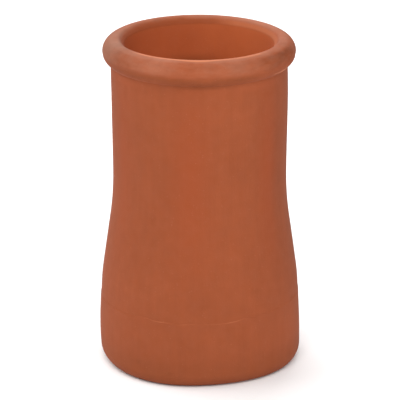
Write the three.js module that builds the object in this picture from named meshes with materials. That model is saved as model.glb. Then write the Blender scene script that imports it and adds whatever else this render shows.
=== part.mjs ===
// A roll-top chimney pot in unglazed red clay: one piece, open from foot to mouth.
// Millimetres, +Z up, origin at the centre of the underside, axis of the flue on Z.
import * as THREE from "three";

// Height, flue and walls
const HEIGHT = 450;
const BORE_RADIUS = 100;
const BARREL_WALL = 17;
const FOOT_WALL = 24;

// Barrel: it widens a little from its waist up to the roll
const BARREL_DRAFT = 1.1;

// Flare: the straight cone between barrel and foot, with a soft bend at each end
const FLARE_TOP = 232;
const FLARE_BOTTOM = 121;
const TOP_BEND = 33;
const BOTTOM_BEND = 12;

// Foot: a broad band on a narrow bed, with a thin ledge above it
const FOOT_RADIUS = 137.3;
const FOOT_BAND = 50;
const FOOT_BEND = 20;
const FOOT_DRAFT = 2.45;
const FOOT_TURN_IN = 0.7;
const LEDGE_HEIGHT = 94;
const LEDGE_STEP = 0.6;
const SHOULDER_DRAFT = 1.25;
const ARRIS_HEIGHT = 19;
const BED_WIDTH = 4.5;
const INNER_EDGE = 3;

// Roll: the bead round the mouth, with its fillet below and its lip inside
const ROLL_RADIUS = 17.5;
const ROLL_PROUD = 10.8;
const ROLL_FILLET = 4;
const CROWN_FLAT = 1.5;
const LIP_DEPTH = 8.5;

// Fineness of the facets
const FLATS_AROUND = 90;
const ROLL_STEPS = 11;
const ARRIS_STEPS = 5;
const LIP_STEPS = 4;
const BEND_STEPS = 3;
const EDGE_STEPS = 2;

// Radii that follow from the sizes above
const WAIST_RADIUS = BORE_RADIUS + BARREL_WALL;
const NECK_RADIUS = WAIST_RADIUS + BARREL_DRAFT;
const ROLL_CENTRE = NECK_RADIUS + ROLL_PROUD - ROLL_RADIUS;
const LEDGE_RADIUS = FOOT_RADIUS - FOOT_DRAFT;
const SHOULDER_RADIUS = LEDGE_RADIUS - LEDGE_STEP - SHOULDER_DRAFT;
const FOOT_BORE = FOOT_RADIUS - FOOT_WALL;
const ARRIS_WIDTH = FOOT_WALL - INNER_EDGE - BED_WIDTH - FOOT_TURN_IN;

// Quarter turns of an arc, counted from straight outwards
const OUT = 0;
const UP = Math.PI / 2;
const IN = Math.PI;
const DOWN = -Math.PI / 2;

// A point of the outline: its distance from the axis and its height.
const point = (radius, height) => new THREE.Vector2(radius, height);

// Points of an arc round a centre, from one direction to another.
function arc(centre, width, height, from, to, steps, clockwise = false) {
  const curve = new THREE.EllipseCurve(centre.x, centre.y, width, height, from, to, clockwise);
  return curve.getPoints(steps);
}

// Points of a soft bend at a corner, which reaches as far before it as after it.
function bend(before, corner, after, reach) {
  const towards = (end) => end.clone().sub(corner).setLength(reach).add(corner);
  const curve = new THREE.QuadraticBezierCurve(towards(before), corner, towards(after));
  return curve.getPoints(BEND_STEPS);
}

// Across the bed and out over the arris to the side of the foot.
function foot() {
  const arrisCentre = point(FOOT_BORE + INNER_EDGE + BED_WIDTH, ARRIS_HEIGHT);
  return arc(arrisCentre, ARRIS_WIDTH, ARRIS_HEIGHT, DOWN, OUT, ARRIS_STEPS);
}

// Up the band, over the ledge and the shoulder, and up the cone to the waist.
function flare() {
  const arrisTop = point(FOOT_RADIUS - FOOT_TURN_IN, ARRIS_HEIGHT);
  const band = point(FOOT_RADIUS, FOOT_BAND);
  const underLedge = point(LEDGE_RADIUS, LEDGE_HEIGHT);
  const overLedge = point(LEDGE_RADIUS - LEDGE_STEP, LEDGE_HEIGHT + LEDGE_STEP);
  const shoulder = point(SHOULDER_RADIUS, FLARE_BOTTOM);
  const waist = point(WAIST_RADIUS, FLARE_TOP);
  const neck = point(NECK_RADIUS, HEIGHT);
  return [
    ...bend(arrisTop, band, underLedge, FOOT_BEND),
    underLedge,
    overLedge,
    ...bend(overLedge, shoulder, waist, BOTTOM_BEND),
    ...bend(shoulder, waist, neck, TOP_BEND),
  ];
}

// Round the fillet and the roll, and over the lip into the flue.
function roll() {
  const height = HEIGHT - ROLL_RADIUS;
  const reach = ROLL_RADIUS + ROLL_FILLET;
  const across = NECK_RADIUS + ROLL_FILLET - ROLL_CENTRE;
  const drop = Math.sqrt(reach * reach - across * across);
  const joint = Math.atan2(-drop, across);
  const filletCentre = point(NECK_RADIUS + ROLL_FILLET, height - drop);
  const rollCentre = point(ROLL_CENTRE, height);
  const lipCentre = point(ROLL_CENTRE - CROWN_FLAT, HEIGHT - LIP_DEPTH);
  return [
    ...arc(filletCentre, ROLL_FILLET, ROLL_FILLET, IN, IN + joint, EDGE_STEPS, true),
    ...arc(rollCentre, ROLL_RADIUS, ROLL_RADIUS, joint, UP, ROLL_STEPS).slice(1),
    ...arc(lipCentre, lipCentre.x - BORE_RADIUS, LIP_DEPTH, UP, IN, LIP_STEPS),
  ];
}

// Down the flue, which opens out inside the flare, to the inner edge of the bed.
function flue() {
  const mouth = point(BORE_RADIUS, HEIGHT);
  const waist = point(BORE_RADIUS, FLARE_TOP);
  const shoulder = point(FOOT_BORE, FLARE_BOTTOM);
  const bottom = point(FOOT_BORE, 0);
  const edgeCentre = point(FOOT_BORE + INNER_EDGE, INNER_EDGE);
  return [
    ...bend(mouth, waist, shoulder, TOP_BEND),
    ...bend(waist, shoulder, bottom, BOTTOM_BEND),
    ...arc(edgeCentre, INNER_EDGE, INNER_EDGE, IN, IN + UP, EDGE_STEPS),
  ];
}

// The outline of the wall, closed on itself, turned round the axis.
function makePot() {
  const outline = [...foot(), ...flare(), ...roll(), ...flue()];
  outline.push(outline[0].clone());
  const geometry = new THREE.LatheGeometry(outline, FLATS_AROUND);
  geometry.rotateX(Math.PI / 2);
  const clay = new THREE.MeshStandardMaterial({ color: "#a6583a", roughness: 0.85, metalness: 0 });
  const pot = new THREE.Mesh(geometry, clay);
  pot.name = "chimney_pot";
  return pot;
}

const part = new THREE.Group();
part.add(makePot());

export default part;
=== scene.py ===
# %% [markdown]
# # A roll-top chimney pot
# A chimney pot is a short clay flue that stands on a stack, bedded in mortar. This one is red clay, fired
# with no glaze. Its mouth is thickened into a rolled bead, its barrel is nearly straight, and it flares to a
# broad foot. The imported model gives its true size, so the lesson starts by loading it as a fixed frame.

import math

import bpy
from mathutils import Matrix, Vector


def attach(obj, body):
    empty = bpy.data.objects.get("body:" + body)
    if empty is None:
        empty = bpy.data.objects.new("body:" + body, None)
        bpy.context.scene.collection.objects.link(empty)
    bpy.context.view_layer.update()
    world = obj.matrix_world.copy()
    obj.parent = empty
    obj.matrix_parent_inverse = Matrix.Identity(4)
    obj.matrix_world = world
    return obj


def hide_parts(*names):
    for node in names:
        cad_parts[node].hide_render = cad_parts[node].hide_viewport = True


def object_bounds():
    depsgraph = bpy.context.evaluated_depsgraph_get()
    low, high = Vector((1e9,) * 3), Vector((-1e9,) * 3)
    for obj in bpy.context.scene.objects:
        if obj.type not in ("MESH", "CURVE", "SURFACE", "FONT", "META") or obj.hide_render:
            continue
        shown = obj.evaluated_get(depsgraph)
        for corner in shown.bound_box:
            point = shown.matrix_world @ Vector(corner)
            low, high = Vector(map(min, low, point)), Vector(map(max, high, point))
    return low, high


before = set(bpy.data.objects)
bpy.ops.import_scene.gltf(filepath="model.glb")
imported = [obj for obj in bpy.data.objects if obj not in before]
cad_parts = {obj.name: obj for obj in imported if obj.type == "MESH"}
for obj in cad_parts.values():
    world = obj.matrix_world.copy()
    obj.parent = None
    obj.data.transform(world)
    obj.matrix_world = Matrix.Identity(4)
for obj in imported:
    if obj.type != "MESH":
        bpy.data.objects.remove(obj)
cad_low, cad_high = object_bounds()
HEIGHT = cad_high.z
print("frame", [round(side, 4) for side in cad_high - cad_low], "nodes", sorted(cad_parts))

# %% [markdown]
# ## Sums as nodes
# Masks and small shifts of a surface are sums, and a sum is easier to read as an expression than as a row of
# Math nodes. A tree makes any node from its type, its settings and its sockets, and gives back its output as
# a wire. A wire knows the signs: each one adds a Math node to the tree. Shaders and geometry both use it.

# %% Trees and wires
DEGREES = 180 / math.pi


class Tree:
    """Makes the nodes of one node tree."""

    def __init__(self, graph):
        self.graph = graph

    def node(self, kind, inputs=None, output=0, **settings):
        """One node: its settings first, then the values or wires of its sockets. Gives an output."""
        made = self.graph.nodes.new(kind)
        for name, value in settings.items():
            setattr(made, name, value)
        for key, value in (inputs or {}).items():
            if isinstance(value, Wire):
                self.graph.links.new(value.socket, made.inputs[key])
            else:
                made.inputs[key].default_value = value
        return Wire(self, made.outputs[output]) if made.outputs else None

    def math(self, operation, first, second=0.0):
        """One Math node."""
        return self.node("ShaderNodeMath", {0: first, 1: second}, operation=operation)

    def between(self, value, low, high, to_low=0.0, to_high=1.0):
        """Eases a value from one range into another, and holds it at the ends."""
        ends = {"Value": value, "From Min": low, "From Max": high, "To Min": to_low, "To Max": to_high}
        return self.node("ShaderNodeMapRange", ends, interpolation_type="SMOOTHSTEP", clamp=True)

    def near(self, value, centre, reach):
        """One where the value is at a centre, easing to nothing at its reach."""
        return self.between(self.math("ABSOLUTE", value - centre), 0.0, reach, 1.0, 0.0)

    def even_noise(self, inputs):
        """Noise that runs from -1 to 1."""
        return self.node("ShaderNodeTexNoise", inputs, noise_dimensions="4D") * 2.0 - 1.0


class Wire:
    """An output of a node, which can stand in a sum."""

    def __init__(self, tree, socket):
        self.tree = tree
        self.socket = socket

    def other(self, output):
        """Another output of the same node."""
        return Wire(self.tree, self.socket.node.outputs[output])

    def __add__(self, value):
        return self.tree.math("ADD", self, value)

    def __radd__(self, value):
        return self.tree.math("ADD", value, self)

    def __sub__(self, value):
        return self.tree.math("SUBTRACT", self, value)

    def __rsub__(self, value):
        return self.tree.math("SUBTRACT", value, self)

    def __mul__(self, value):
        return self.tree.math("MULTIPLY", self, value)

    def __rmul__(self, value):
        return self.tree.math("MULTIPLY", value, self)

    def __truediv__(self, value):
        return self.tree.math("DIVIDE", self, value)

    def __pow__(self, value):
        return self.tree.math("POWER", self, value)


print("wires ready")

# %% [markdown]
# ## The outline of the wall
# The wall has the same section all round, so it is drawn once, as a closed outline of distance from the axis
# against height. Round stretches are arcs, and a change of slope is a soft bend, as a wet tool leaves it.
# The sizes are the pot's own, in metres, and the height comes from the frame.

# %% Sizes of the section
BORE = 0.1000
WAIST = 0.1170
NECK = 0.1181
FOOT = 0.1373
FOOT_BORE = 0.1133
BED_INNER = 0.1163
BED_OUTER = 0.1208
ARRIS_HEIGHT = 0.019
ARRIS_TOP = 0.1366
BAND_HEIGHT = 0.050
LEDGE_HEIGHT = 0.0937
LEDGE = 0.13475
SHOULDER = 0.1330
SHOULDER_HEIGHT = 0.121
WAIST_HEIGHT = 0.232
NARROWEST_HEIGHT = 0.276
NECK_HEIGHT = 0.363
ROLL = 0.0175
ROLL_CENTRE = 0.1114
ROLL_HEIGHT = HEIGHT - ROLL
FILLET = 0.003
CROWN_END = 84.0
LIP_START = 0.1076
LIP_DEPTH = 0.0080
EDGE = 0.003
# How far each soft bend reaches before and after its corner
BAND_BEND = 0.024
SHOULDER_BEND = 0.012
WAIST_BEND = 0.030
NARROWEST_BEND = 0.014
NECK_BEND = 0.020
CROWN_BEND = 0.0028
LIP_BEND = 0.0016
FLUE_BEND = 0.033
# Shallow marks of a tool on the roll: a place and a half width in degrees, and a depth
TOOL_MARKS = ((60.0, 6.0, 0.00012), (-10.0, 7.0, 0.00035))
print("wall", round(WAIST - BORE, 4), "foot wall", round(FOOT - FOOT_BORE, 4))

# %% [markdown]
# ## Drawing the outline
# Each stretch of the outline is a short list of points: an arc, a bend or a straight run. Rows stay fine
# on the roll and at the ledge, where the shape turns fast, and are wide apart on the plain barrel.

# %% Arcs, bends and runs
FINE = 0.0022
ROLL_FINE = FINE / 3
PLAIN = 5 * FINE
SAME = FINE / 20
BEND_FINE = 3 * FINE
LEDGE_FINE = 0.0004
LEDGE_ZONE = 0.0045
# The fewest steps of an arc and of a bend
ARC_STEPS = 3
BEND_STEPS = 4


def arc(centre, width, height, start, end, step=FINE, marks=()):
    """Points of an arc about a centre. Each tool mark is a place, a half width and a depth."""
    steps = max(ARC_STEPS, math.ceil(abs(end - start) * max(width, height) / step))
    points = []
    for turn in [start + (end - start) * i / steps for i in range(steps + 1)]:
        cut = 0.0
        for place, half, depth in marks:
            cut += depth * math.exp(-(((math.degrees(turn) - place) / half) ** 2))
        aside, up = (width - cut) * math.cos(turn), (height - cut) * math.sin(turn)
        points.append((centre[0] + aside, centre[1] + up))
    return points


def towards(start, end, distance):
    """The point at a distance from the start, on the way to the end."""
    share = distance / math.dist(start, end)
    return tuple(a + (b - a) * share for a, b in zip(start, end))


def bend(before, corner, after, reach):
    """Points of a soft bend that reaches as far before a corner as after it."""
    first = towards(corner, before, reach)
    last = towards(corner, after, reach)
    steps = max(BEND_STEPS, math.ceil(2 * reach / BEND_FINE))
    points = []
    for share in [i / steps for i in range(steps + 1)]:
        weights = ((1 - share) ** 2, 2 * share * (1 - share), share**2)
        knots = zip(weights, (first, corner, last))
        points.append(tuple(sum((weight * Vector(knot) for weight, knot in knots), Vector((0, 0)))))
    return points


def joined(*stretches):
    """The stretches end to end, with points added on straight runs and none twice."""
    points = [point for stretch in stretches for point in stretch]
    whole = []
    for point, following in zip(points, points[1:] + points[:1]):
        gap = math.dist(point, following)
        if gap < SAME:
            continue
        by_ledge = abs(point[1] - LEDGE_HEIGHT) < LEDGE_ZONE and point[0] > FOOT_BORE + EDGE
        parts = math.ceil(gap / (LEDGE_FINE if by_ledge else PLAIN))
        whole += [towards(point, following, gap * i / parts) for i in range(parts)]
    return whole


def wall_outline():
    """The closed outline: bed, foot, flare, barrel, roll, lip and flue, as (radius, height)."""
    quarter = math.pi / 2
    arris_top, band = (ARRIS_TOP, ARRIS_HEIGHT), (FOOT, BAND_HEIGHT)
    ledge = (LEDGE, LEDGE_HEIGHT)
    under_ledge = towards(ledge, band, LEDGE_ZONE)
    over_ledge = towards(ledge, (SHOULDER, SHOULDER_HEIGHT), LEDGE_ZONE)
    shoulder, waist = (SHOULDER, SHOULDER_HEIGHT), (WAIST, WAIST_HEIGHT)
    narrowest, neck = (WAIST, NARROWEST_HEIGHT), (NECK, NECK_HEIGHT)
    under_roll = (NECK, ROLL_HEIGHT)
    across = NECK + FILLET - ROLL_CENTRE
    drop = math.sqrt((ROLL + FILLET) ** 2 - across**2)
    joint, crown = math.atan2(-drop, across), math.radians(CROWN_END)
    fillet_centre, roll_centre = (NECK + FILLET, ROLL_HEIGHT - drop), (ROLL_CENTRE, ROLL_HEIGHT)
    lip_start, lip_end = (LIP_START, HEIGHT), (BORE, HEIGHT - LIP_DEPTH)
    inner_waist, inner_shoulder = (BORE, WAIST_HEIGHT), (FOOT_BORE, SHOULDER_HEIGHT)
    return joined(
        arc((BED_OUTER, ARRIS_HEIGHT), ARRIS_TOP - BED_OUTER, ARRIS_HEIGHT, -quarter, 0),
        bend(arris_top, band, ledge, BAND_BEND),
        [under_ledge, ledge, over_ledge],
        bend(over_ledge, shoulder, waist, SHOULDER_BEND),
        bend(shoulder, waist, narrowest, WAIST_BEND),
        bend(waist, narrowest, neck, NARROWEST_BEND),
        bend(narrowest, neck, under_roll, NECK_BEND),
        arc(fillet_centre, FILLET, FILLET, math.pi, math.pi + joint, ROLL_FINE),
        arc(roll_centre, ROLL, ROLL, joint, crown, ROLL_FINE, TOOL_MARKS),
        bend((ROLL_CENTRE, HEIGHT), lip_start, lip_end, CROWN_BEND),
        bend(lip_start, lip_end, inner_waist, LIP_BEND),
        bend(lip_end, inner_waist, inner_shoulder, FLUE_BEND),
        bend(inner_waist, inner_shoulder, (FOOT_BORE, 0), SHOULDER_BEND),
        arc((BED_INNER, EDGE), BED_INNER - FOOT_BORE, EDGE, math.pi, math.pi + quarter),
    )


outline = wall_outline()
print("outline of", len(outline), "points, widest", round(max(r for r, z in outline), 4))

# %% [markdown]
# ## Turning the wall
# A turned body follows one rule: the outline goes round a circle. In Geometry Nodes that is Curve to Mesh.
# A hand finishes a pot, so it is never quite true: the foot is a little out of round where it was lifted
# from the board, and the roll sits a hair off the axis. Those shifts are sums of angle and height. All of
# them go sideways, so the bed stays flat, and the foot's lobes fade out upwards. The lobes move both faces
# of the wall together, so the wall keeps its thickness, and the foot is out of round inside as well.

# %% A tree that turns the outline
SIDES = 320
# How far the foot is out of round at the bed: lobes of a count round the pot, and their depth
FOOT_LOBES = {2: 0.0011, 3: 0.0021, 4: -0.0012, 5: -0.0007}
LOBE_HEIGHT = 0.070
ROLL_SHIFT = -0.0008
LEDGE_STEP = 0.0005
LEDGE_TILT = 0.0245
LEDGE_HALF = 0.0004
LEDGE_FADE = 0.020
# Where the ledge wavers: a place and reach in degrees, and a rise in metres
LEDGE_WAVES = ((-124.0, 9.0, 0.0027), (-102.0, 9.0, -0.0013), (-77.0, 14.0, -0.0018), (-62.0, 7.0, 0.0015))
BURR_HEIGHT = 0.0008
BURR_ANGLE = -30.0
BURR_REACH = 8.0
BURR_TURN = -48.5
BURR_SLOPE = 0.65
BURR_HALF = 5.0
BED_GRIP = 0.030
WAVE_DEPTH = 0.00035
WAVE_SIZE = 9.0
WAVE_DETAIL = 1.0
WAVE_SEED = 4.0


def above_ledge(tree, x, height, angle):
    """How far a point lies above the ledge, which tilts a little and wavers as it goes round."""
    waves = sum((tree.near(angle, place, reach) * rise for place, reach, rise in LEDGE_WAVES), 0.0)
    return height - x * LEDGE_TILT - LEDGE_HEIGHT - waves


def burr_mask(tree, radius, height, angle):
    """One along a short burr under the roll, where a tool left a thread of clay."""
    round_roll = tree.math("ARCTAN2", height - ROLL_HEIGHT, radius - ROLL_CENTRE) * DEGREES
    aside = round_roll - (angle - BURR_ANGLE) * BURR_SLOPE - BURR_TURN
    thread = tree.near(aside, 0.0, BURR_HALF) * tree.near(angle, BURR_ANGLE, BURR_REACH)
    return thread * tree.between(radius, ROLL_CENTRE, NECK)


def turning_tree(material):
    """A Geometry Nodes tree that turns an outline round the Z axis and finishes it by hand."""
    group = bpy.data.node_groups.new("Turn the wall", "GeometryNodeTree")
    group.interface.new_socket("Outline", in_out="INPUT", socket_type="NodeSocketGeometry")
    names = ["Lobe height", "Roll shift", "Ledge step", "Burr height"]
    names += ["Wave depth", "Wave size", "Seed"]
    names += [f"Lobe {count}" for count in FOOT_LOBES]
    for name in names:
        group.interface.new_socket(name, in_out="INPUT", socket_type="NodeSocketFloat")
    group.interface.new_socket("Sides", in_out="INPUT", socket_type="NodeSocketInt")
    group.interface.new_socket("Wall", in_out="OUTPUT", socket_type="NodeSocketGeometry")
    tree = Tree(group)
    given = tree.node("NodeGroupInput")
    circle = {"Resolution": given.other("Sides"), "Radius": BORE}
    circle = tree.node("GeometryNodeCurvePrimitiveCircle", circle)
    turned = tree.node("GeometryNodeCurveToMesh", {"Curve": circle, "Profile Curve": given})
    place = tree.node("GeometryNodeInputPosition")
    x = tree.node("ShaderNodeSeparateXYZ", {0: place})
    y, z = x.other("Y"), x.other("Z")
    angle = tree.math("ARCTAN2", y, x)
    lobes = 0.0
    for count in FOOT_LOBES:
        lobes = tree.math("COSINE", angle * count) * given.other(f"Lobe {count}") + lobes
    fade = tree.math("MAXIMUM", 1.0 - z / given.other("Lobe height"), 0.0) ** 2.0
    size, seed = given.other("Wave size"), given.other("Seed")
    wave = tree.even_noise({"Vector": place, "W": seed, "Scale": size, "Detail": WAVE_DETAIL})
    grip = tree.between(z, 0.0, BED_GRIP)
    radius = (x * x + y * y) ** 0.5
    degrees = angle * DEGREES
    above = above_ledge(tree, x, z, degrees)
    ledge = tree.between(above, -LEDGE_HALF, LEDGE_HALF, 0.5, -0.5) * tree.near(above, 0.0, LEDGE_FADE)
    ledge = ledge * tree.between(radius, FOOT_BORE, BED_OUTER) * given.other("Ledge step")
    burr = burr_mask(tree, radius, z, degrees) * given.other("Burr height")
    outward = lobes * fade + wave * given.other("Wave depth") * grip + ledge + burr
    radial = tree.node("ShaderNodeCombineXYZ", {"X": x, "Y": y})
    radial = tree.node("ShaderNodeVectorMath", {0: radial}, operation="NORMALIZE")
    radial = tree.node("ShaderNodeVectorMath", {0: radial, "Scale": outward}, operation="SCALE")
    aside = tree.between(z, NECK_HEIGHT, ROLL_HEIGHT) * given.other("Roll shift")
    aside = tree.node("ShaderNodeCombineXYZ", {"X": aside})
    shift = tree.node("ShaderNodeVectorMath", {0: radial, 1: aside}, operation="ADD")
    moved = tree.node("GeometryNodeSetPosition", {"Geometry": turned, "Offset": shift})
    smooth = tree.node("GeometryNodeSetShadeSmooth", {"Geometry": moved})
    real = tree.node("GeometryNodeRealizeInstances", {0: smooth})
    finished = tree.node("GeometryNodeSetMaterial", {"Geometry": real, "Material": material})
    tree.node("NodeGroupOutput", {"Wall": finished})
    return group


def set_inputs(modifier, values):
    """Sets a modifier's inputs, found by the name that its tree gives them."""
    for item in modifier.node_group.interface.items_tree:
        if item.name in values:
            modifier[item.identifier] = values[item.name]


print("tree ready for", SIDES, "sides")

# %% [markdown]
# ## Terracotta
# The clay is matt and grainy. Its colour drifts softly over a hand's breadth, runs in faint upright streaks
# where the wall was smoothed, and is peppered with fine grog. A Principled shader carries it: the noises
# read Object coordinates, so they stay in the clay from every side.

# %% Places on the pot
# A Mix node's sockets for colours: the two that it takes, and the one that it gives
MIX_FIRST = 6
MIX_SECOND = 7
MIX_RESULT = 2


class Place(Tree):
    """Makes the clay's nodes, and knows where on the pot a point of the surface is."""

    def __init__(self, graph):
        super().__init__(graph)
        self.point = self.node("ShaderNodeTexCoord").other("Object")
        self.x = self.node("ShaderNodeSeparateXYZ", {0: self.point})
        self.y, self.height = self.x.other("Y"), self.x.other("Z")
        self.radius = (self.x * self.x + self.y * self.y) ** 0.5
        self.angle = self.math("ARCTAN2", self.y, self.x) * DEGREES

    def noise(self, size, detail=2.0, seed=0.0, upright=1.0):
        """Noise from -1 to 1 with features of a size in metres, drawn out upwards if asked."""
        scale = (1 / size, 1 / size, 1 / (size * upright))
        at = self.node("ShaderNodeVectorMath", {0: self.point, 1: scale}, operation="MULTIPLY")
        return self.even_noise({"Vector": at, "W": seed, "Scale": 1.0, "Detail": detail})

    def noises(self, rows):
        """A sum of noises. Each row: size, detail, seed, how far drawn out upwards, share."""
        return sum((self.noise(*row[:4]) * row[4] for row in rows), 0.0)

    def around(self, rows):
        """A sum of soft stretches round the pot. Each row: angle and reach in degrees, share."""
        return sum((self.near(self.angle, angle, reach) * share for angle, reach, share in rows), 0.0)

    def patches(self, rows):
        """A sum of soft patches. Each row: angle and reach in degrees, height and reach in metres, share."""
        total = 0.0
        for angle, wide, height, tall, share in rows:
            total = self.near(self.angle, angle, wide) * self.near(self.height, height, tall) * share + total
        return total

    def mix(self, share, first, second):
        """One colour turning into another."""
        inputs = {0: share, MIX_FIRST: first, MIX_SECOND: second}
        return self.node("ShaderNodeMix", inputs, output=MIX_RESULT, data_type="RGBA")


print("places ready")

# %% [markdown]
# ## The clay's colours
# One body of clay, in the shades that the fire and the weather gave it: burnt where it is darker, worn where
# it is rubbed, and a pale bloom of salts. Some of them also stand for light: the flue and the lip each have a
# lit and a shaded clay as painted light and shade, the worn colour also makes painted highlights, the bloom
# also makes painted sheen, and the grime also makes painted shade. Each is a linear red, green and blue, and
# the masks mix them.

# %% The clay's colours
RED_CLAY = (0.312, 0.0710, 0.0230, 1.0)
BURNT_CLAY = (0.187, 0.0425, 0.0125, 1.0)
WARM_CLAY = (0.300, 0.0590, 0.0160, 1.0)
# The flue's clays: painted light on its right, painted shade on its left, and brighter than the outside
# partly as painted light
FLUE_LIT_CLAY = (0.475, 0.1080, 0.0310, 1.0)
FLUE_SHADED_CLAY = (0.375, 0.0790, 0.0215, 1.0)
# The lip's clays: painted shade on its left, painted light on its right
LIP_SHADED_CLAY = (0.255, 0.0520, 0.0130, 1.0)
LIP_LIT_CLAY = (0.362, 0.0940, 0.0330, 1.0)
# Worn clay, which also makes the painted highlights on the crest, the ledge and the burr
WORN_AND_HIGHLIT_CLAY = (0.505, 0.1640, 0.0740, 1.0)
# A pale bloom of salts, which also makes painted sheen on the roll's left and round the crown
SALT_AND_SHEEN = (0.720, 0.5200, 0.4000, 1.0)
PALE_GROG = (0.640, 0.3200, 0.1900, 1.0)
DARK_GROG = (0.170, 0.0600, 0.0300, 1.0)
# Grime, which also makes painted shade under the roll and low on the foot, and a painted shadow in the flue
GRIME_AND_SHADE = (0.150, 0.0360, 0.0085, 1.0)
FILM_GREEN = (0.160, 0.1700, 0.1350, 1.0)
print("colours ready")

# %% [markdown]
# ## Outside and flue
# The flue's clay is brighter than the outside's, partly as painted light, so the shader has to tell the two
# sides apart. The middle of the wall is a radius that grows down the flare, and a point nearer the axis than
# that lies in the flue.

# %% The side of the wall
SIDE_BLEND = 0.006
CROWN_START = HEIGHT - 0.0050
CROWN_FULL = HEIGHT - 0.0015


def inside_mask(clay):
    """One on the flue's side of the wall, and nothing on the outside."""
    low, high = (FOOT + FOOT_BORE) / 2, (WAIST + BORE) / 2
    middle = clay.between(clay.height, SHOULDER_HEIGHT, WAIST_HEIGHT, low, high)
    within = clay.between(clay.radius - middle, -SIDE_BLEND, 0.0, 1.0, 0.0)
    return within * clay.between(clay.height, CROWN_START, CROWN_FULL, 1.0, 0.0)


print("sides told apart")

# %% [markdown]
# ## Tone
# Outside, the clay runs between red and burnt: soft drifts, mottling a finger wide, faint upright streaks,
# and a few patches that the flame caught. Darker patches on the right of the barrel and of the roll's face
# are painted shade, and paler patches just under the roll and low on the foot's right are painted light. The
# flue is painted brighter on the right and darker on the left, as painted light and shade, and so is the lip
# above it.

# %% Tone
COMMON_BURNT = 0.285
ROLL_BRIGHTER = 0.18
SPOTS = ((0.110, 2.0, 3.0, 1.0, 0.26), (0.016, 4.0, 5.0, 1.0, 0.20), (0.009, 2.0, 8.0, 14.0, 0.14))
ROLL_SPOTS = ((0.018, 3.0, 9.0, 0.35, 0.45),)
FLUE_SPOTS = ((0.030, 3.0, 21.0, 1.0, 0.40),)
# The rows in order: painted shade on the barrel's right, painted light as a paler patch low on the foot's
# right, two scorches, and painted light as paler patches just under the roll on the left and the front right
SCORCHES_AND_PAINTED_LIGHT = (
    (-36.0, 20.0, 0.300, 0.160, 0.35),
    (-24.0, 30.0, 0.060, 0.080, -0.27),
    (-122.0, 30.0, 0.030, 0.036, 0.10),
    (-98.0, 28.0, 0.320, 0.140, 0.07),
    (-146.0, 26.0, 0.410, 0.010, -0.30),
    (-50.0, 32.0, 0.410, 0.010, -0.22),
)
WARM_STROKES = (
    (-96.0, 20.0, 0.290, 0.200, 0.70),
    (-40.0, 14.0, 0.300, 0.190, 0.80),
    (-149.0, 13.0, 0.300, 0.190, 0.50),
    (-24.0, 14.0, 0.432, 0.014, 0.50),
)
ROLL_START = 0.412
ROLL_FULL = 0.428
ROLL_SCORCHES = ((-148.0, 32.0, 0.38), (-68.0, 20.0, 0.10), (140.0, 34.0, 0.15))
# Painted shade on the right of the roll's outer face, which turns away from the light
FACE_SHADE = ((-37.0, 24.0, 0.58), (-18.0, 22.0, 0.55))
FACE_START = 0.422
FACE_FULL = 0.438
FACE_END = 0.4453
FACE_GONE = 0.4480
FACE_REST = 0.2
# Where the flue and the lip turn from painted shade on the left to painted light on the right
FLUE_LEFT = -0.05
FLUE_RIGHT = 0.09
LIP_LEFT = 0.010
LIP_RIGHT = 0.055
LIP_BLEND = 0.002


def tone(clay, inside):
    """The clay's own colour, outside and in the flue, with painted light and shade on the barrel, the roll,
    the flue and the lip.
    """
    roll = clay.between(clay.height, ROLL_START, ROLL_FULL)
    face = clay.between(clay.height, FACE_START, FACE_FULL)
    face = face * clay.between(clay.height, FACE_END, FACE_GONE, 1.0, FACE_REST)
    # Burnt share, with patches of painted shade and painted light among the scorches
    share = clay.noises(SPOTS) + clay.patches(SCORCHES_AND_PAINTED_LIGHT) + COMMON_BURNT
    share = share + roll * (clay.noises(ROLL_SPOTS) + clay.around(ROLL_SCORCHES) - ROLL_BRIGHTER)
    # Painted shade on the right of the roll's face
    share = share + face * clay.around(FACE_SHADE)
    outside = clay.mix(share, RED_CLAY, BURNT_CLAY)
    outside = clay.mix(clay.patches(WARM_STROKES), outside, WARM_CLAY)
    # Painted shade on the flue's left and painted light on its right
    flue = clay.between(clay.x, FLUE_LEFT, FLUE_RIGHT) + clay.noises(FLUE_SPOTS)
    flue = clay.mix(flue, FLUE_SHADED_CLAY, FLUE_LIT_CLAY)
    # The lip is painted darker on the left and paler on the right, as painted shade and light
    lip = clay.mix(clay.between(clay.x, LIP_LEFT, LIP_RIGHT), LIP_SHADED_CLAY, LIP_LIT_CLAY)
    lip_end = HEIGHT - LIP_DEPTH - LIP_BLEND / 2
    flue = clay.mix(clay.between(clay.height, lip_end - LIP_BLEND, lip_end + LIP_BLEND), flue, lip)
    return clay.mix(inside, outside, flue)


print("tone ready")

# %% [markdown]
# ## Wear and painted highlights
# Hands and weather rub the proud places. The inner edge of the crown is pale along the front, worn and with a
# painted highlight. The ledge shows as a broken bright line and a burr under the roll as a short one, both
# painted highlights. A thin bloom of salts lies on the roll, with painted sheen on its left and round the
# crown, and its left end has a grey-green film.

# %% Wear and painted highlights
# The bloom on the roll is salts, with painted sheen on its left and round the crown
BLOOM_START = 0.4260
BLOOM_FULL = 0.4373
ROLL_BLOOM = 0.022
CROWN_SHEEN = 0.04
BLOOMS_AND_SHEEN = (
    (-121.0, 26.0, 0.045),
    (-70.0, 26.0, 0.032),
    (-155.0, 30.0, 0.015),
    (-24.0, 24.0, -0.020),
    (50.0, 45.0, 0.050),
)
BLOOM_SPOTS = ((0.030, 3.0, 12.0, 1.0, 0.04), (0.012, 3.0, 13.0, 0.4, 0.05))
FILM = 0.004
FILM_SPOTS = ((0.013, 4.0, 15.0, 1.0, 0.012),)
GREEN_FILMS = ((-170.0, 34.0, 0.445, 0.026, 0.25), (180.0, 40.0, 0.445, 0.026, 0.20))
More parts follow.
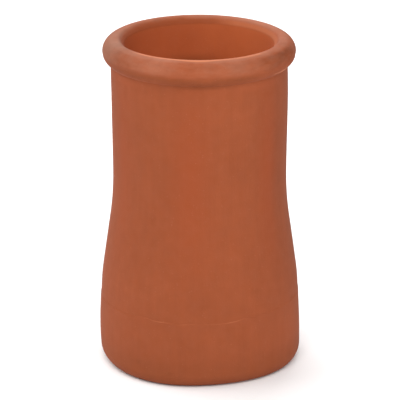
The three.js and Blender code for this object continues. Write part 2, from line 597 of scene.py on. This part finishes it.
# The crest along the front of the crown's inner edge is worn and carries a painted highlight, widest at the
# front
CREST_START = 0.4470
CREST_FULL = 0.4490
CREST_INNER = 0.1125
CREST_OUTER = 0.1155
CREST_WIDER = 0.0022
CREST_FRONT = -91.0
CREST_REACH = 16.0
CREST = 0.02
CRESTS = ((-93.0, 66.0, 1.0), (-52.0, 20.0, 0.3), (-128.0, 20.0, 0.3))
CREST_SPOTS = ((0.020, 2.0, 14.0, 1.0, 0.40),)
# The ledge's broken bright line is a painted highlight, where its small shelf catches the light
LINE_HALF = 0.0012
LINE = 0.36
LINES = (
    (-122.0, 7.0, 0.35),
    (-113.5, 9.0, 1.0),
    (-104.0, 8.0, 0.20),
    (-98.0, 5.0, 0.55),
    (-82.0, 8.0, 0.60),
    (-70.5, 11.0, 1.0),
)
LINE_SPOTS = ((0.014, 1.0, 17.0, 1.0, 0.15),)
# Painted highlights where the burr under the roll catches the light
BURRS = ((-36.0, 6.0, 0.4213, 0.0026, 0.55), (-26.0, 10.0, 0.4202, 0.0042, 1.00))


def wear_and_highlights(clay, colour, inside):
    """Paler clay where the pot is rubbed, painted highlights on the crest, the ledge and a burr, and a dusty
    bloom with painted sheen on the roll.
    """
    outside = 1.0 - inside
    roll = clay.between(clay.height, BLOOM_START, BLOOM_FULL) * outside
    crown = clay.between(clay.height, CREST_START, CREST_FULL) * CROWN_SHEEN
    # Salts bloom and painted sheen on the roll and the crown
    bloom_and_sheen = roll * (clay.around(BLOOMS_AND_SHEEN) + clay.noises(BLOOM_SPOTS) + crown + ROLL_BLOOM)
    bloom_and_sheen = bloom_and_sheen + clay.noises(FILM_SPOTS) + FILM
    from_edge = clay.radius - clay.near(clay.angle, CREST_FRONT, CREST_REACH) * CREST_WIDER
    crest = clay.between(clay.height, CREST_START, CREST_FULL)
    crest = crest * clay.between(from_edge, CREST_INNER, CREST_OUTER, 1.0, 0.0)
    crest = crest * (clay.around(CRESTS) + clay.noises(CREST_SPOTS) + CREST)
    above = above_ledge(clay, clay.x, clay.height, clay.angle)
    # A painted highlight along the ledge
    line = clay.near(above, 0.0, LINE_HALF) * clay.around(LINES) * (clay.noises(LINE_SPOTS) + LINE)
    # Worn clay and painted highlights on the crest, the ledge and the burr
    rubbed_and_highlit = crest + (line + clay.patches(BURRS)) * outside
    colour = clay.mix(bloom_and_sheen, colour, SALT_AND_SHEEN)
    colour = clay.mix(clay.patches(GREEN_FILMS) * outside, colour, FILM_GREEN)
    return clay.mix(clay.between(rubbed_and_highlit, 0.0, 1.0), colour, WORN_AND_HIGHLIT_CLAY)


print("wear ready")

# %% [markdown]
# ## Dirt and painted shade
# Painted shade darkens the underside of the roll and the crevice below it, most at the front, and the foot
# low down, and a painted shadow lies as a dark pool on the back wall of the flue. Dirt lies in a few smudges
# left by fingers.

# %% Dirt and painted shade
# Painted shade on the roll's lower half and in the crevice below it, darkest at the front
BELLY_HEIGHT = 0.4257
BELLY_HALF = 0.0078
BELLIES = ((-118.0, 46.0, 0.38), (-72.0, 24.0, 0.36), (-92.0, 22.0, 0.12), (-58.0, 20.0, 0.20))
CREVICE_FULL = 0.4180
CREVICE_END = 0.4270
CREVICES = ((-91.0, 30.0, 0.30),)
CREVICE_LOW = 0.4105
CREVICE_RISE = 0.004
UNDER_BLEND = 0.002
# Painted shade, darker towards the bed of the foot
FOOT_SHADE = 0.17
FOOT_SHADE_FULL = 0.020
FOOT_SHADE_END = 0.050
# A painted shadow: a dark pool on the back wall of the flue, a little below the mouth
FLUE_SHADOW = ((96.0, 36.0, 0.378, 0.027, 0.80),)
SMUDGES = (
    (-55.0, 7.0, 0.130, 0.006, 0.15),
    (-22.0, 5.0, 0.100, 0.006, 0.22),
    (-127.0, 4.0, 0.030, 0.006, 0.14),
    (-107.0, 4.0, 0.020, 0.005, 0.14),
    (-87.0, 5.0, 0.116, 0.006, 0.08),
)
DARKENING_SPOTS = ((0.020, 3.0, 31.0, 1.0, 0.25),)


def grime_and_shade(clay, inside):
    """How much dirt, painted shade and painted shadow lies on a place, from nothing to one."""
    # Painted shade under the roll
    below = clay.between(clay.height, CREVICE_LOW, CREVICE_LOW + CREVICE_RISE)
    crevice = below * clay.between(clay.height, CREVICE_FULL, CREVICE_END, 1.0, 0.0) * clay.around(CREVICES)
    belly = clay.near(clay.height, BELLY_HEIGHT, BELLY_HALF) * clay.around(BELLIES)
    under = (crevice + belly) * clay.between(clay.radius, ROLL_CENTRE, NECK - UNDER_BLEND)
    # Painted shade low on the foot
    foot = clay.between(clay.height, FOOT_SHADE_FULL, FOOT_SHADE_END, FOOT_SHADE, 0.0)
    # A painted shadow on the flue's back wall
    flue_shadow = clay.patches(FLUE_SHADOW) * inside
    return (under + foot + flue_shadow + clay.patches(SMUDGES)) * (clay.noises(DARKENING_SPOTS) + 1.0)


print("dirt ready")

# %% [markdown]
# ## The finished clay
# Tone, wear and dirt lie over one another, with painted light, shade, highlights and sheen among them, grains
# of grog are peppered in, and a fine bump breaks up the light. One Principled shader carries them all. Its
# colour, its roughness and its normal vary over the clay, and its gloss is set once.

# %% Finish the clay
CLAY_ROUGHNESS = 0.86
CLAY_GLOSS = 0.24
ROUGHNESS_SPOTS = ((0.012, 3.0, 41.0, 1.0, 0.05),)
GRAIN = ((0.0016, 4.0, 43.0, 1.0, 0.60), (0.004, 2.0, 45.0, 10.0, 0.40))
GRAIN_STRENGTH = 0.4
GRAIN_DEPTH = 0.0004
GROG_SCALE = 240.0
GROG_RARITY = 0.62
GROG_CORE = 0.06
GROG_EDGE = 0.16
GROG_SHARE = 0.14
# Each grog: how far its cells are moved, and its colour
GROGS = ((0.0, PALE_GROG), (5.0, DARK_GROG))


def clay_finish():
    """The terracotta material."""
    material = bpy.data.materials.new("terracotta")
    material.use_nodes = True
    graph = material.node_tree
    graph.nodes.clear()
    clay = Place(graph)
    inside = inside_mask(clay)
    colour = wear_and_highlights(clay, tone(clay, inside), inside)
    # Dirt, painted shade and a painted shadow darken the clay
    colour = clay.mix(grime_and_shade(clay, inside), colour, GRIME_AND_SHADE)
    for move, grog in GROGS:
        moved = clay.node("ShaderNodeVectorMath", {0: clay.point, 1: (move, move, move)}, operation="ADD")
        cells = clay.node("ShaderNodeTexVoronoi", {"Vector": moved, "Scale": GROG_SCALE, "Randomness": 1.0})
        chosen = clay.math("GREATER_THAN", cells.other("Color"), GROG_RARITY)
        colour = clay.mix(clay.between(cells, GROG_CORE, GROG_EDGE, GROG_SHARE, 0.0) * chosen, colour, grog)
    roughness = clay.noises(ROUGHNESS_SPOTS) + CLAY_ROUGHNESS
    bump = {"Height": clay.noises(GRAIN), "Strength": GRAIN_STRENGTH, "Distance": GRAIN_DEPTH}
    bump = clay.node("ShaderNodeBump", bump)
    shader = {"Base Color": colour, "Roughness": roughness, "Specular IOR Level": CLAY_GLOSS, "Normal": bump}
    shader = clay.node("ShaderNodeBsdfPrincipled", shader)
    clay.node("ShaderNodeOutputMaterial", {"Surface": shader})
    return material


terracotta = clay_finish()
print("material", terracotta.name, "of", len(terracotta.node_tree.nodes), "nodes")

# %% [markdown]
# ## The pot
# The outline becomes a curve, the tree turns it, and new_from_object keeps the result as a plain mesh that
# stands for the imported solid.

# %% Turn the pot
def turned_pot(points, material):
    """The pot's mesh, turned from its outline."""
    curve = bpy.data.curves.new("wall_outline", "CURVE")
    spline = curve.splines.new("POLY")
    spline.points.add(len(points) - 1)
    # Curve to Mesh lays a profile's x outwards and its y downwards
    for knot, (radius, height) in zip(spline.points, reversed(points)):
        knot.co = (radius - BORE, -height, 0.0, 1.0)
    spline.use_cyclic_u = True
    drawn = bpy.data.objects.new("wall_outline", curve)
    bpy.context.scene.collection.objects.link(drawn)
    turning = drawn.modifiers.new("Turn the wall", "NODES")
    turning.node_group = turning_tree(material)
    sizes = {"Sides": SIDES, "Lobe height": LOBE_HEIGHT, "Roll shift": ROLL_SHIFT}
    sizes |= {"Wave depth": WAVE_DEPTH, "Wave size": WAVE_SIZE, "Seed": WAVE_SEED}
    sizes |= {"Ledge step": LEDGE_STEP, "Burr height": BURR_HEIGHT}
    sizes |= {f"Lobe {count}": depth for count, depth in FOOT_LOBES.items()}
    set_inputs(turning, sizes)
    ready = drawn.evaluated_get(bpy.context.evaluated_depsgraph_get())
    mesh = bpy.data.meshes.new_from_object(ready)
    bpy.data.objects.remove(drawn)
    pot = bpy.data.objects.new("clay_pot", mesh)
    bpy.context.scene.collection.objects.link(pot)
    return pot


pot = turned_pot(outline, terracotta)
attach(pot, "root")
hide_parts("chimney_pot")
corners = [pot.matrix_world @ Vector(corner) for corner in pot.bound_box]
print("pot", len(pot.data.polygons), "faces, top", round(max(c.z for c in corners), 4))

# %% [markdown]
# ## The floor
# The pot stands on a broad pale floor, which sends some light back up under the roll and the flare. The floor
# is a stage: it belongs to the picture and not to the pot.

# %% Floor
FLOOR_RADIUS = 12.0
FLOOR_SIDES = 64
FLOOR_WHITE = (0.95, 0.95, 0.95, 1.0)
FLOOR_ROUGHNESS = 0.9


def pale_floor():
    """A broad pale disc under the pot."""
    material = bpy.data.materials.new("floor")
    material.use_nodes = True
    shader = material.node_tree.nodes["Principled BSDF"]
    shader.inputs["Base Color"].default_value = FLOOR_WHITE
    shader.inputs["Roughness"].default_value = FLOOR_ROUGHNESS
    mesh = bpy.data.meshes.new("floor")
    turns = [math.tau * i / FLOOR_SIDES for i in range(FLOOR_SIDES)]
    rim = [(FLOOR_RADIUS * math.cos(turn), FLOOR_RADIUS * math.sin(turn), 0.0) for turn in turns]
    mesh.from_pydata(rim, [], [list(range(FLOOR_SIDES))])
    mesh.materials.append(material)
    floor = bpy.data.objects.new("floor", mesh)
    bpy.context.scene.collection.objects.link(floor)
    return floor


floor = pale_floor()
print("floor", FLOOR_RADIUS, "m")

# %% [markdown]
# ## Sky and lamps
# The light is soft and comes from nearly everywhere: a weak white sky, and five broad lamps in a ring above
# the pot. The front and the back are brightest, and the right side has only one lamp, so it falls off
# gently.

# %% Sky and lamps
LAMP_AWAY = 3.0
LAMP_SIZE = 2.2
LAMP_RISE = math.radians(40.0)
LAMP_LIFT = 0.2
# Each lamp: how far it stands round from the front, in degrees, and its power in watts
LAMPS = {
    "front": (0, 52.0),
    "front_right": (45, 28.5),
    "left": (-90, 36.5),
    "back_left": (-135, 26.0),
    "back": (180, 47.0),
}
SKY = 0.364
WHITE = (1.0, 1.0, 1.0, 1.0)


def lamp(name, turn, power):
    """A square area lamp in the ring, which faces the middle of the pot."""
    data = bpy.data.lights.new(name, "AREA")
    data.shape = "SQUARE"
    data.size = LAMP_SIZE
    data.energy = power
    across, rise = LAMP_AWAY * math.cos(LAMP_RISE), LAMP_AWAY * math.sin(LAMP_RISE) + LAMP_LIFT
    place = Vector((across * math.sin(turn), -across * math.cos(turn), rise))
    made = bpy.data.objects.new(name, data)
    made.location = place
    made.rotation_euler = (Vector((0, 0, HEIGHT / 2)) - place).to_track_quat("-Z", "Y").to_euler()
    made.visible_camera = False
    bpy.context.scene.collection.objects.link(made)
    return made


world = bpy.data.worlds.new("studio")
world.use_nodes = True
world.node_tree.nodes["Background"].inputs["Color"].default_value = WHITE
world.node_tree.nodes["Background"].inputs["Strength"].default_value = SKY
bpy.context.scene.world = world
lamps = [lamp(name, math.radians(turn), power) for name, (turn, power) in LAMPS.items()]
bpy.context.scene.view_settings.view_transform = "Standard"
print("lamps", [made.name for made in lamps])

# %% [markdown]
# ## Camera
# The camera looks down by nineteen degrees from over three metres away with a long lens, so the mouth shows
# as an open ellipse and the sides hardly converge.

# %% Camera
PHOTO_SIDE = 400
FOCAL_PIXELS = 2654.3
CAMERA_ASIDE = 0.0004
CAMERA_AWAY = 3.399
CAMERA_HEIGHT = 1.405
CAMERA_PITCH = math.radians(19.206)
CAMERA_REACH = 100.0

data = bpy.data.cameras.new("camera")
data.lens = data.sensor_width * FOCAL_PIXELS / PHOTO_SIDE
data.clip_end = CAMERA_REACH
camera = bpy.data.objects.new("camera", data)
camera.location = (CAMERA_ASIDE, -CAMERA_AWAY, CAMERA_HEIGHT)
camera.rotation_euler = (math.pi / 2 - CAMERA_PITCH, 0.0, 0.0)
bpy.context.scene.collection.objects.link(camera)
bpy.context.scene.camera = camera
print("lens", round(data.lens, 1), "mm")
